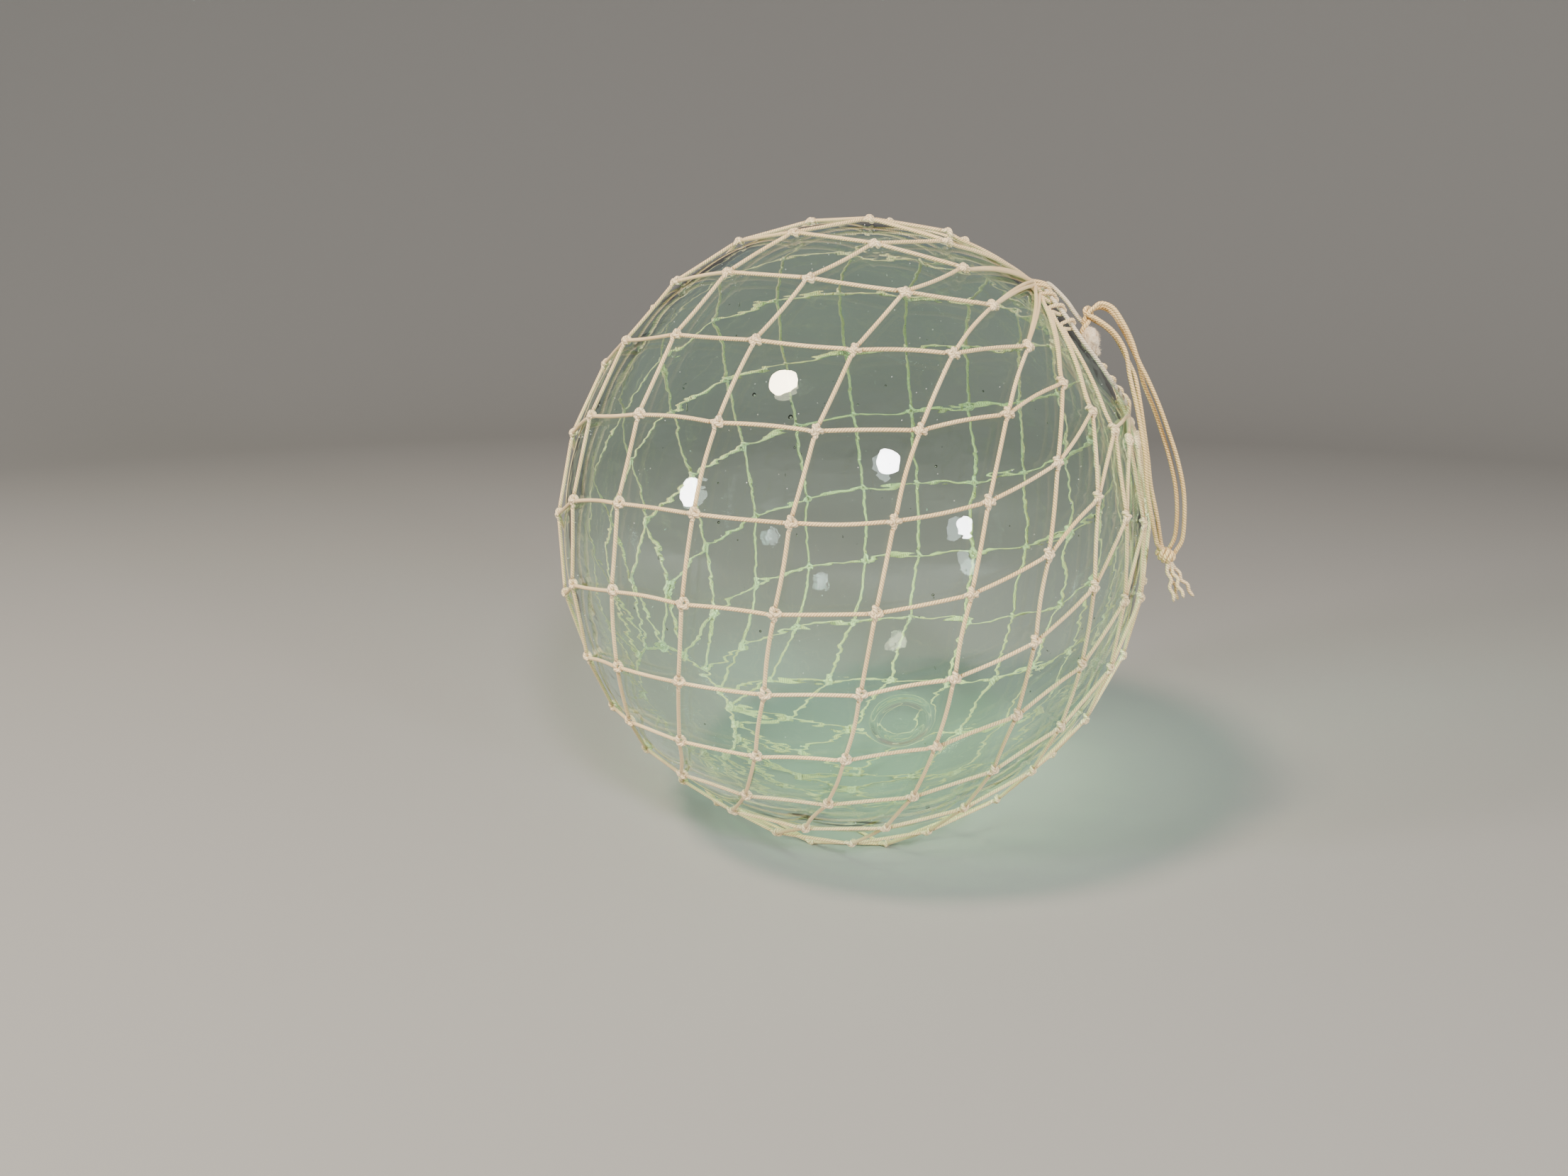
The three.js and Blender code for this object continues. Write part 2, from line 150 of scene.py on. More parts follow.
# The colours of each twine's pale and dark fibres, and the painted shade in its grooves between the plies,
# as a screen shows them
NET_COLOURS = (252, 225, 174), (236, 198, 142), (142, 100, 54)
KNOT_COLOURS = (253, 233, 192), (241, 209, 158), (152, 114, 68)
LOOP_COLOURS = (250, 219, 160), (234, 193, 126), (146, 102, 54)
FRAYED_COLOURS = (246, 232, 204), (224, 204, 170), (140, 118, 88)
TAIL_COLOURS = (252, 230, 186), (238, 204, 150), (156, 116, 68)

# The floor, the light all round, and each lamp's place, width, power and colour
FLOOR_REACH = 2.0
FLOOR_BEND = 1.6
FLOOR_RINGS = 16
FLOOR_COLOUR = (158, 157, 155)
WORLD_GREY = 0.24
LIGHTS = [
    ("overhead light", (-0.9, -0.9, 2.0), 0.36, 54, (1, 0.83, 0.6)),
    ("front light", (0.42, -2.0, 1.4), 0.33, 48, (0.98, 0.98, 1)),
    ("left light", (-2.1, -0.95, 0.75), 0.34, 40, (1, 0.98, 0.97)),
    ("right light", (1.5, -1.9, 0.55), 0.28, 26, (0.97, 0.98, 1)),
]

# Every random draw comes from here, in one fixed order
chance = random.Random(7)


# The camera comes first
def make_camera():
    lens = bpy.data.cameras.new("camera")
    lens.sensor_width = SENSOR_WIDTH
    lens.lens = LENS
    camera = bpy.data.objects.new("camera", lens)
    camera.location = BALL_MIDDLE + CAMERA_FROM_BALL
    camera.rotation_euler = (math.radians(90 - CAMERA_TILT), 0, 0)
    bpy.context.collection.objects.link(camera)
    bpy.context.scene.camera = camera


make_camera()


def random_vector(spread):
    return Vector([chance.gauss(0, spread) for _ in range(3)])


# Paths
def smooth_path(points, step):
    """An even path of about that step on a centripetal curve through the points."""
    dense = []
    for i in range(len(points) - 1):
        one, two = points[i], points[i + 1]
        before = points[i - 1] if i else one * 2 - two
        after = points[i + 2] if i + 2 < len(points) else two * 2 - one
        gap_before = max((one - before).length ** 0.5, 1e-5)
        gap = max((two - one).length ** 0.5, 1e-5)
        gap_after = max((after - two).length ** 0.5, 1e-5)
        ahead = (two - one) / gap
        leave = ((one - before) / gap_before - (two - before) / (gap_before + gap) + ahead) * gap
        arrive = (ahead - (after - one) / (gap + gap_after) + (after - two) / gap_after) * gap
        for k in range(CURVE_PARTS):
            t = k / CURVE_PARTS
            square = 2 * one - 2 * two + leave + arrive
            bend = -3 * one + 3 * two - 2 * leave - arrive
            dense.append(one + leave * t + bend * t * t + square * t**3)
    dense.append(points[-1])
    return even_steps(dense, step)


def path_length(points):
    return sum((b - a).length for a, b in zip(points, points[1:]))


def even_steps(points, step):
    total = path_length(points)
    count = max(3, round(total / step))
    result, walked, target = [points[0].copy()], 0.0, total / count
    for a, b in zip(points, points[1:]):
        reach = (b - a).length
        while walked + reach >= target - 1e-9 and len(result) < count:
            result.append(a.lerp(b, (target - walked) / reach) if reach else b.copy())
            target = total / count * len(result)
        walked += reach
    result.append(points[-1].copy())
    return result


# Tubes of twine: the UV map runs round them, and along them in millimetres
def add_twine(bm, points, radius, sides=8, lobes=0, depth=0.0, thickness=None, closed=False, out=None):
    """A tube along the points. With lobes its section is that many plies, laid round each other."""
    uv = bm.loops.layers.uv.verify()
    count = len(points)
    ways = []
    for i in range(count):
        ahead = points[(i + 1) % count] if closed else points[min(i + 1, count - 1)]
        behind = points[i - 1] if closed or i else points[0]
        ways.append((ahead - behind).normalized())
    normal = ways[0].orthogonal().normalized()
    rings, along, walked = [], [], 0.0
    for i, place in enumerate(points):
        if i:
            walked += (place - points[i - 1]).length / MM
            normal = ways[i - 1].rotation_difference(ways[i]) @ normal
        if out:
            normal = (out[i] - ways[i] * out[i].dot(ways[i])).normalized()
        across = ways[i].cross(normal)
        width = radius * (thickness(i / (count - 1)) if thickness else 1)
        ring = []
        for j in range(sides):
            turn = 2 * math.pi * j / sides
            swell = 1 + depth * math.cos(lobes * turn + 2 * math.pi * walked / LAY_SPACING)
            spoke = normal * math.cos(turn) + across * math.sin(turn)
            ring.append(bm.verts.new(place + spoke * width * swell))
        rings.append(ring)
        along.append(walked)
    if closed:
        rings.append(rings[0])
        along.append(walked + (points[0] - points[-1]).length / MM)
    for i in range(len(rings) - 1):
        for j in range(sides):
            k = (j + 1) % sides
            face = bm.faces.new((rings[i][j], rings[i][k], rings[i + 1][k], rings[i + 1][j]))
            places = ((j, i), (j + 1, i), (j + 1, i + 1), (j, i + 1))
            for loop, (around, ring_index) in zip(face.loops, places):
                loop[uv].uv = (around / sides, along[ring_index])
    if not closed:
        bm.faces.new(rings[0][::-1])
        bm.faces.new(rings[-1])


def add_fibre(bm, start, way, length, radius):
    """A loose thin fibre with a random bend."""
    side = way.orthogonal().normalized()
    side.rotate(Quaternion(way, chance.uniform(0, 2 * math.pi)))
    bow = chance.uniform(-0.5, 0.5) * length
    points = [start + way * length * t + side * bow * t * t for t in (0, 0.33, 0.66, 1)]
    add_twine(bm, points, radius, sides=3, thickness=lambda t: 1 - 0.7 * t)


def make_object(name, bm, material):
    mesh = bpy.data.meshes.new(name)
    bm.to_mesh(mesh)
    bm.free()
    mesh.polygons.foreach_set("use_smooth", [True] * len(mesh.polygons))
    mesh.materials.append(material)
    made = bpy.data.objects.new(name, mesh)
    bpy.context.collection.objects.link(made)
    return made


def finish_piece(name, bm, material):
    """Puts the mesh in its place in the frame and makes it a piece that rides on the part."""
    bmesh.ops.translate(bm, vec=BALL_MIDDLE, verts=bm.verts)
    piece = make_object(name, bm, material)
    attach(piece, "root")
    return piece


# Materials
def linear(*srgb):
    """A screen's colour, of 0 to 255, as linear light."""
    return tuple(((c / 255 + 0.055) / 1.055) ** 2.4 if c > 10 else c / 255 / 12.92 for c in srgb) + (1.0,)


class Wiring:
    """Short names for adding and joining a tree's nodes."""

    def __init__(self, tree):
        self.tree = tree

    def add(self, kind, **settings):
        node = self.tree.nodes.new(kind)
        for name, value in settings.items():
            setattr(node, name, value)
        return node

    def join(self, source, target):
        self.tree.links.new(source, target)

    def maths(self, operation, one, two=None):
        node = self.add("ShaderNodeMath", operation=operation)
        for socket, value in zip(node.inputs, (one, two)):
            if value is None:
                continue
            if isinstance(value, (int, float)):
                socket.default_value = value
            else:
                self.join(value, socket)
        return node.outputs[0]

    def noise(self, vector, scale, detail=2.0, roughness=0.5):
        node = self.add("ShaderNodeTexNoise")
        node.inputs["Scale"].default_value = scale
        node.inputs["Detail"].default_value = detail
        node.inputs["Roughness"].default_value = roughness
        self.join(vector, node.inputs["Vector"])
        return node.outputs["Fac"]

    def between(self, value, low, high, to_low=0.0, to_high=1.0):
        node = self.add("ShaderNodeMapRange")
        limits = {"From Min": low, "From Max": high, "To Min": to_low, "To Max": to_high}
        for name, number in limits.items():
            node.inputs[name].default_value = number
        self.join(value, node.inputs["Value"])
        return node.outputs["Result"]

    def blend(self, amount, one, two):
        node = self.add("ShaderNodeMix", data_type="RGBA")
        self.join(amount, node.inputs["Factor"])
        for socket, value in ((node.inputs[6], one), (node.inputs[7], two)):
            if isinstance(value, tuple):
                socket.default_value = value
            else:
                self.join(value, socket)
        return node.outputs[2]


def make_lay_group():
    """Plies laid round each other, with fine fibres, and a mask of the grooves between the plies for
    painted shade: reads the twine's own UV map.
    """
    group = bpy.data.node_groups.new("laid twine", "ShaderNodeTree")
    pitch = group.interface.new_socket("Pitch", in_out="INPUT", socket_type="NodeSocketFloat")
    pitch.default_value = LAY_SPACING
    for label in ("Groove shade", "Height", "Tone"):
        group.interface.new_socket(label, in_out="OUTPUT", socket_type="NodeSocketFloat")
    wiring = Wiring(group)
    given = wiring.add("NodeGroupInput")
    result = wiring.add("NodeGroupOutput")
    coordinates = wiring.add("ShaderNodeTexCoord")
    parts = wiring.add("ShaderNodeSeparateXYZ")
    wiring.join(coordinates.outputs["UV"], parts.inputs[0])
    turns = wiring.maths("MULTIPLY", parts.outputs[0], PLIES)
    phase = wiring.maths("ADD", turns, wiring.maths("DIVIDE", parts.outputs[1], given.outputs["Pitch"]))
    ply = wiring.maths("ABSOLUTE", wiring.maths("SINE", wiring.maths("MULTIPLY", phase, math.pi)))
    crown = wiring.maths("POWER", ply, 0.6)
    fibre_place = wiring.add("ShaderNodeCombineXYZ")
    wiring.join(wiring.maths("MULTIPLY", phase, 7.0), fibre_place.inputs[0])
    wiring.join(wiring.maths("MULTIPLY", parts.outputs[1], 0.45), fibre_place.inputs[1])
    fibres = wiring.noise(fibre_place.outputs[0], scale=1.6, detail=3.0, roughness=0.6)
    tone = wiring.noise(coordinates.outputs["Object"], scale=46.0, detail=3.0)
    height = wiring.maths("ADD", wiring.maths("MULTIPLY", fibres, 0.3), crown)
    # The grooves between the plies, which the twine materials darken as painted shade
    wiring.join(wiring.between(ply, 0.0, 0.55, 1.0, 0.0), result.inputs["Groove shade"])
    wiring.join(height, result.inputs["Height"])
    broad_tone = wiring.maths("MULTIPLY", tone, 0.6)
    fine_tone = wiring.maths("MULTIPLY", fibres, 0.4)
    wiring.join(wiring.maths("ADD", broad_tone, fine_tone), result.inputs["Tone"])
    return group


def new_material(name):
    material = bpy.data.materials.new(name)
    material.use_nodes = True
    wiring = Wiring(material.node_tree)
    shader = material.node_tree.nodes["Principled BSDF"]
    return material, wiring, shader


def make_twine_material(name, colours, relief, sheen):
    material, wiring, shader = new_material(name)
    pale, dark, groove_shade = (linear(*colour) for colour in colours)
    lay = wiring.add("ShaderNodeGroup", node_tree=lay_group)
    lay.inputs["Pitch"].default_value = LAY_SPACING
    tone = wiring.between(lay.outputs["Tone"], 0.3, 0.68)
    body = wiring.blend(tone, dark, pale)
    # Painted shade: the colour darkens towards the groove colour between the plies
    shade = wiring.maths("MULTIPLY", lay.outputs["Groove shade"], 0.75)
    wiring.join(wiring.blend(shade, body, groove_shade), shader.inputs["Base Color"])
    bump = wiring.add("ShaderNodeBump")
    bump.inputs["Strength"].default_value = relief
    bump.inputs["Distance"].default_value = 0.00035
    wiring.join(lay.outputs["Height"], bump.inputs["Height"])
    wiring.join(bump.outputs[0], shader.inputs["Normal"])
    shader.inputs["Roughness"].default_value = 0.86
    shader.inputs["Specular IOR Level"].default_value = 0.25
    shader.inputs["Sheen Weight"].default_value = sheen
    shader.inputs["Sheen Roughness"].default_value = 0.4
    return material


def make_fibre_material(name, pale, dark):
    material, wiring, shader = new_material(name)
    coordinates = wiring.add("ShaderNodeTexCoord")
    place = coordinates.outputs["Object"]
    mottle = wiring.noise(place, scale=420.0, detail=4.0, roughness=0.7)
    wiring.join(wiring.blend(wiring.between(mottle, 0.35, 0.65), dark, pale), shader.inputs["Base Color"])
    bump = wiring.add("ShaderNodeBump")
    bump.inputs["Strength"].default_value = 0.8
    bump.inputs["Distance"].default_value = 0.0004
    wiring.join(wiring.noise(place, scale=2400.0, detail=3.0, roughness=0.7), bump.inputs["Height"])
    wiring.join(bump.outputs[0], shader.inputs["Normal"])
    shader.inputs["Roughness"].default_value = 0.95
    shader.inputs["Sheen Weight"].default_value = 0.5
    return material


def make_glass_material():
    """Clear glass with a green body, fine ripples, and a cloudy ring where the seal was pressed."""
    material, wiring, shader = new_material("clear green glass")
    coordinates = wiring.add("ShaderNodeTexCoord")
    place = coordinates.outputs["Object"]
    stretched = wiring.add("ShaderNodeMapping")
    stretched.inputs["Rotation"].default_value = (0.3, 0.2, 0.5)
    stretched.inputs["Scale"].default_value = (1.0, 1.0, 2.6)
    wiring.join(place, stretched.inputs["Vector"])
    ripples = wiring.noise(stretched.outputs[0], scale=46.0, detail=1.0, roughness=0.4)
    streaks = wiring.noise(stretched.outputs[0], scale=130.0, detail=1.0, roughness=0.4)
    height = wiring.maths("ADD", ripples, wiring.maths("MULTIPLY", streaks, 0.2))
    bump = wiring.add("ShaderNodeBump")
    bump.inputs["Strength"].default_value = 1.0
    bump.inputs["Distance"].default_value = 0.00013
    wiring.join(height, bump.inputs["Height"])
    wiring.join(bump.outputs[0], shader.inputs["Normal"])
    from_seal = wiring.add("ShaderNodeVectorMath", operation="DISTANCE")
    from_seal.inputs[1].default_value = BALL_MIDDLE + seal_seat
    wiring.join(place, from_seal.inputs[0])
    off_ring = wiring.maths("ABSOLUTE", wiring.maths("SUBTRACT", from_seal.outputs["Value"], SEAL_RADIUS))
    ring = wiring.between(off_ring, 0.0, SEAL_CLOUD_WIDTH, 1.0, 0.0)
    cloud = wiring.between(wiring.noise(place, scale=260.0, detail=4.0, roughness=0.6), 0.42, 0.7)
    cloudy_ring = wiring.maths("MULTIPLY", ring, cloud)
    wiring.join(wiring.maths("MULTIPLY", cloudy_ring, SEAL_CLOUD), shader.inputs["Roughness"])
    shader.inputs["Base Color"].default_value = (0.985, 1.0, 0.992, 1.0)
    shader.inputs["IOR"].default_value = 1.5
    shader.inputs["Transmission Weight"].default_value = 1.0
    # Lamps shine through the glass, so that the net behind it is lit
    output = material.node_tree.nodes["Material Output"]
    clear = wiring.add("ShaderNodeBsdfTransparent")
    clear.inputs["Color"].default_value = (0.68, 0.80, 0.74, 1.0)
    rays = wiring.add("ShaderNodeLightPath")
    mix = wiring.add("ShaderNodeMixShader")
    wiring.join(rays.outputs["Is Shadow Ray"], mix.inputs[0])
    wiring.join(shader.outputs[0], mix.inputs[1])
    wiring.join(clear.outputs[0], mix.inputs[2])
    wiring.join(mix.outputs[0], output.inputs["Surface"])
    tint = wiring.add("ShaderNodeVolumeAbsorption")
    tint.inputs["Color"].default_value = (0.36, 0.80, 0.60, 1.0)
    tint.inputs["Density"].default_value = 32.0
    wiring.join(tint.outputs[0], output.inputs["Volume"])
    return material


def make_dust_material():
    material, wiring, shader = new_material("pale dust")
    coordinates = wiring.add("ShaderNodeTexCoord")
    tone = wiring.between(wiring.noise(coordinates.outputs["Object"], scale=90.0), 0.35, 0.65)
    colour = wiring.blend(tone, linear(196, 196, 190), linear(236, 236, 232))
    wiring.join(colour, shader.inputs["Base Color"])
    shader.inputs["Roughness"].default_value = 0.9
    return material


# Places on the glass
def direction(heading, elevation):
    level = math.cos(math.radians(elevation))
    return Vector((
        level * math.cos(math.radians(heading)),
        level * math.sin(math.radians(heading)),
        math.sin(math.radians(elevation)),
    ))


def axis_frame(axis):
    first = (Vector((0, 0, 1)) - axis * axis.z).normalized()
    return axis, first, axis.cross(first)


def around_axis(frame_of_axis, from_axis, turn):
    axis, first, second = frame_of_axis
    return (
        axis * math.cos(from_axis)
        + first * (math.sin(from_axis) * math.cos(turn))
        + second * (math.sin(from_axis) * math.sin(turn))
    )


def glass_normal(place):
    return Vector(tuple(place[i] / HALF_AXES[i] ** 2 for i in range(3))).normalized()


def on_glass(towards, lift):
    surface = Vector(tuple(towards[i] * HALF_AXES[i] for i in range(3)))
    normal = glass_normal(surface)
    return surface + normal * lift, normal


def lift_of(place):
    """Height of a place over the glass, near enough."""
    share = math.sqrt(sum((place[i] / HALF_AXES[i]) ** 2 for i in range(3)))
    foot = place / share
    return (place - foot).dot(glass_normal(foot))


def clear_of_glass(place, lift):
    """Moves a place out to that height over the glass if it is lower."""
    missing = lift - lift_of(place)
    return place + glass_normal(place) * missing if missing > 0 else place


def taut(start, end, bow=0.0):
    """A taut strand from start to end, which lies on the glass where the glass is in its way."""
    count = max(3, round((end - start).length / STRAND_STEP))
    side = (end - start).cross(glass_normal(start + end)).normalized()
    points = []
    for k in range(count + 1):
        t = k / count
        place = start.lerp(end, t) + side * (bow * math.sin(math.pi * t))
        points.append(clear_of_glass(place, STRAND_LIFT))
    return points


net_frame = axis_frame(direction(NET_HEADING, NET_ELEVATION))
mouth_frame = axis_frame(direction(MOUTH_HEADING, MOUTH_ELEVATION))
seal_seat, seal_normal = on_glass(direction(SEAL_HEADING, SEAL_ELEVATION), 0)
lay_group = make_lay_group()
glass_material = make_glass_material()
net_twine = make_twine_material("net twine", NET_COLOURS, 0.9, 0.25)
knot_twine = make_twine_material("knotted twine", KNOT_COLOURS, 0.9, 0.25)
loop_cord = make_twine_material("golden cord", LOOP_COLOURS, 1.0, 0.2)
frayed_cord = make_twine_material("frayed pale cord", FRAYED_COLOURS, 1.0, 0.4)
tail_cord = make_twine_material("frayed golden cord", TAIL_COLOURS, 0.8, 0.3)
loose_fibre = make_fibre_material("loose fibre", linear(250, 234, 206), linear(230, 204, 168))
dust_material = make_dust_material()


# The hanging loop's legs come before the rest, on their solids' routes, given in millimetres
LEG_ROUTES = {
    "loop_leg_left_front": [
        (108.4, -61, 111.4), (111.2, -62, 109.5), (114.8, -63, 106.6), (118.4, -64, 102.2),
        (121.4, -65, 96.3), (123.3, -67, 86.2), (126.2, -69.6, 74.4), (128.5, -73, 62.2),
        (130.7, -75.4, 49.6), (132.4, -75, 37), (136, -74, 22.5), (140.5, -70, 10),
    ],
    "loop_leg_left_back": [
        (108.8, -57, 110.5), (112.2, -58, 108.5), (116.2, -59, 105.1), (119.7, -60, 100.2),
        (122.4, -61.5, 94.8), (126.5, -64, 86), (128.9, -66.5, 74.8), (131, -69, 62.2), (133.2, -71, 49),
        (135.3, -71.6, 36.6), (139.6, -70.8, 21.8), (143.4, -67.2, 9.6),
    ],
    "loop_leg_right_front": [
        (105.9, -61, 116.1), (108.8, -62, 118.5), (113.9, -63, 117), (119.3, -63.5, 110.3),
        (123.9, -64, 102), (127.2, -64.5, 93.7), (132.4, -65.5, 84.1), (138, -67, 72.4),
        (143.3, -68, 59.7), (147.8, -68.5, 48.1), (151.8, -68.6, 34), (153.6, -68, 20.3),
        (153.9, -66.2, 8.8), (152, -64.6, 3.6),
    ],
    "loop_leg_right_back": [
        (106.5, -57, 115.7), (110.3, -58, 116.7), (115.2, -58.5, 114.6), (120.3, -59, 107.8),
        (125, -59.5, 99.6), (128.8, -60.5, 91.6), (131.6, -61.5, 82.4), (136.9, -63, 70.8),
        (141.7, -64, 58.6), (145.8, -65, 46.8), (149.4, -65.4, 33.4), (151.2, -64.8, 19.9),
        (151.4, -63, 9.6), (150, -62, 5),
    ],
}
EYE_TOP = Vector((0.1044, -0.058, 0.1123))
LANYARD_PLACE = Vector((0.1467, -0.0655, 0.002))
LANYARD_WAY = Vector((0.8, 0, -0.6))
TAIL_ENDS = [(152.3, -67, -20.8), (155.4, -64, -20.4), (156, -69.5, -18.2), (162.1, -66, -18.3)]


def in_metres(places):
    return [Vector(place) * MM for place in places]


def add_wound_knot(bm, middle, along, size, strand, turns, phases):
    """Turns of a strand wound round a knot's middle, as an overhand knot shows them."""
    length, width = size
    side = along.orthogonal().normalized()
    across = along.cross(side)
    around = width / 2 - strand
    for phase in phases:
        points = []
        count = round(turns * POINTS_PER_TURN)
        for k in range(count + 1):
            t = k / count
            turn = 2 * math.pi * (turns * t + phase)
            waist = around * max(0.0, math.sin(math.pi * t)) ** 0.35
            forward = (t - 0.5) * (length - 2 * strand) + 0.4 * strand * math.sin(2 * turn)
            spoke = side * math.cos(turn) + across * math.sin(turn)
            points.append(middle + along * forward + spoke * waist)
        add_twine(bm, smooth_path(points, CORD_STEP), strand, **LAID)


def make_lanyard():
    """The knot that ties the legs, with the last bit of each leg inside it."""
    bm = bmesh.new()
    along = LANYARD_WAY.normalized()
    size = (LANYARD_LENGTH, LANYARD_WIDTH)
    add_wound_knot(bm, LANYARD_PLACE, along, size, LANYARD_STRAND, LANYARD_TURNS, (0.0, 0.5))
    for index, route in enumerate(LEG_ROUTES.values()):
        before, last = in_metres(route)[-2:]
        way = (last - before).normalized()
        reach = LANYARD_PLACE + along * (0.001 * (index - 1.5))
        points = [last - way * 0.001, last + way * 0.002, last.lerp(reach, 0.6), reach]
        add_twine(bm, smooth_path(points, CORD_STEP), LEG_END_RADIUS, **LAID)
    return finish_piece("lanyard_knot", bm, loop_cord)


def round_tip(t):
    """A cut end's thickness along it: whole, then round over its last tenth."""
    return 1.0 if t < 0.9 else math.sqrt(max(0.06, 1 - ((t - 0.9) / 0.1) ** 2))


def make_tails():
    """The four cut ends below the lanyard's knot: kinked, round at the tip and a little frayed."""
    bm = bmesh.new()
    along = LANYARD_WAY.normalized()
    for index, end in enumerate(in_metres(TAIL_ENDS)):
        spread = along * (0.0002 + 0.0014 * index)
        start = LANYARD_PLACE + spread + Vector((0, 0.0006 * (index - 1.5), -0.001))
        way = end - start
        side = way.cross(Vector((0.2, 1, 0.1))).normalized()
        kinks = [0.0, 0.0001, -0.0005, 0.0007, -0.0006, 0.0004]
        if index % 2:
            kinks = [-kink for kink in kinks]
        points = [start + way * (k / 6) + side * kink for k, kink in enumerate(kinks)] + [end]
        path = smooth_path(points, TAIL_STEP)
        add_twine(bm, path, TAIL_RADIUS, sides=12, lobes=PLIES, depth=0.06, thickness=round_tip)
        down = way.normalized()
        for _ in range(TAIL_FIBRES):
            back = chance.uniform(0.0, 0.012)
            spot = end - down * back + random_vector(0.0005)
            lean = down * (1.2 if back < 0.002 else 0.3) + random_vector(0.6)
            add_fibre(bm, spot, lean.normalized(), chance.uniform(*FIBRE_LENGTHS), TAIL_FIBRE_RADIUS)
    return finish_piece("lanyard_tails", bm, tail_cord)


def make_legs(tails):
    for name, route in LEG_ROUTES.items():
        bm = bmesh.new()
        path = smooth_path(in_metres(route), LEG_STEP)
        add_twine(bm, path, LEG_RADIUS, **LAID)
        leg = finish_piece(name.replace("loop_leg", "cord_leg"), bm, loop_cord)
        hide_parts(name)


lanyard = make_lanyard()
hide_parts("loop_knot")
make_legs(make_tails())


# The net's knots
meshes_around = round(math.pi * KNOT_RADIUS / (MESH_SIDE * math.sin(math.radians(MESH_OPENING / 2))))
half_mesh_turn = math.pi / meshes_around
far_ring_angle = math.pi - FAR_RING_RADIUS / KNOT_RADIUS


class Knot:
    """A knot's place on the glass, and the knots above and below it that its strands run to."""

    def __init__(self, place, normal, row):
        self.place = place
        self.normal = normal
        self.row = row
        self.above = []
        self.below = []

    def way_to(self, other):
        way = other.place - self.place
        return (way - self.normal * way.dot(self.normal)).normalized()

    def exit_to(self, other):
        return self.place + self.way_to(other) * KNOT_EXIT

    def exits(self):
        """The ways of its four strands. A first row's knot has the starts of its bights above it."""
        ways = []
        for other in self.above + self.below:
            if isinstance(other, Knot):
                ways.append(self.way_to(other))
            else:
                ways.append((other - self.place).normalized())
        return ways


def row_angles():
    mesh_angle = MESH_SIDE / KNOT_RADIUS
    angles = [MOUTH_TO_FIRST_ROW / KNOT_RADIUS]
    while far_ring_angle - angles[-1] > 1.2 * mesh_angle:
        half_width = half_mesh_turn * math.sin(angles[-1] + mesh_angle / 2)
        angles.append(angles[-1] + math.sqrt(max(mesh_angle**2 - half_width**2, (mesh_angle / 3) ** 2)))
    return angles


def column_turn(column, from_axis):
    even = math.radians(NET_TURN) + column * half_mesh_turn + math.radians(NET_TWIST) * math.cos(from_axis)
    return even + math.radians(STRETCH) * math.sin(even + math.radians(STRETCH_TURN))


def bight_turn(index):
    """The bights are gathered round the mouth, and leave the drawstring bare from its stopper on."""
    spacing = (360 - (BARE_END - BARE_START)) / (meshes_around - 1)
    return math.radians(BARE_END + (index - BIGHT_AFTER_BARE) % meshes_around * spacing)


def net_row(row, from_axis):
    knots = []
    for half in range(meshes_around):
        towards = around_axis(net_frame, from_axis, column_turn(2 * half + row % 2, from_axis))
        normal = on_glass(towards, 0)[1]
        from_below = math.degrees(normal.angle(Vector((0, 0, -1))))
        slack = math.exp(-((from_below / SLACK_SPREAD) ** 2))
        place, normal = on_glass(towards, KNOT_SEAT + (SLACK_LIFT - KNOT_SEAT) * slack)
        place.z = max(place.z - SLACK_DROP * slack, min(RESTING_HEIGHT, place.z))
        knots.append(Knot(place, normal, row))
    return knots


def make_rows():
    angles = row_angles()
    rows = [net_row(row, from_axis) for row, from_axis in enumerate(angles)]
    rows.append(net_row(len(angles), far_ring_angle))
    for row, (upper, lower) in enumerate(zip(rows, rows[1:])):
        for i, knot in enumerate(upper):
            left = i - 1 if row % 2 == 0 else i
            for other in (lower[left % meshes_around], lower[(left + 1) % meshes_around]):
                knot.below.append(other)
                other.above.append(knot)
    return rows


def mouth_place(radius, turn, lift):
    return on_glass(around_axis(mouth_frame, radius / KNOT_RADIUS, turn), lift)[0]


def drawstring_lift(turn):
    return DRAWSTRING_LIFT + DRAWSTRING_RAISE * max(0.0, math.cos(turn - math.radians(STOPPER_TURN)))


# A bight's places in millimetres: outward of the ring, sideways and above it, or None on the glass
BIGHT = [
    (6.0, -1.3, None), (2.3, -1.2, 1.1), (0.2, -1.1, 1.8), (-1.7, -0.7, 1.0), (-2.3, 0.2, -0.2),
    (-1.5, 1.0, -1.3), (1.0, 1.3, -1.8), (6.0, 1.4, None),
]


def bight_path(left, right, turn):
    """From one knot of the first row over the drawstring, round it and back to the next knot."""
    hook = []
    for outward, sideways, above in BIGHT:
        radius = MOUTH_RADIUS + outward * MM
        if above is None:
            lift = BIGHT_LEG_LIFT
        else:
            lift = max(drawstring_lift(turn) + above * MM, STRAND_LIFT)
        hook.append(mouth_place(radius, turn + sideways * MM / radius, lift))
    first = taut(left.place + (hook[0] - left.place).normalized() * KNOT_EXIT, hook[0])
    last = taut(hook[-1], right.place + (hook[-1] - right.place).normalized() * KNOT_EXIT)
    return first[:-1] + smooth_path(hook, BIGHT_STEP) + last[1:]


# A knot's two strands: millimetres to the right, up and off the glass
SHEET_BEND_BIGHT = [
    (-1.25, 1.1, -0.1), (-1.0, -0.7, 0.35), (0.0, -1.65, 0.5), (1.0, -0.7, 0.35), (1.25, 1.1, -0.1),
]
SHEET_BEND_TURN = [
    (-1.5, -1.3, -0.2), (-0.3, -0.4, 0.5), (-0.5, 0.7, 1.25), (-1.7, 1.35, 0.9), (-2.2, 1.5, -0.3),
    (-1.0, 1.75, -1.05), (1.0, 1.75, -1.05), (2.2, 1.45, -0.2), (1.75, 0.8, 0.95), (0.55, 0.0, 1.5),
    (0.7, -1.1, 1.1), (1.6, -1.5, 0.3),
]


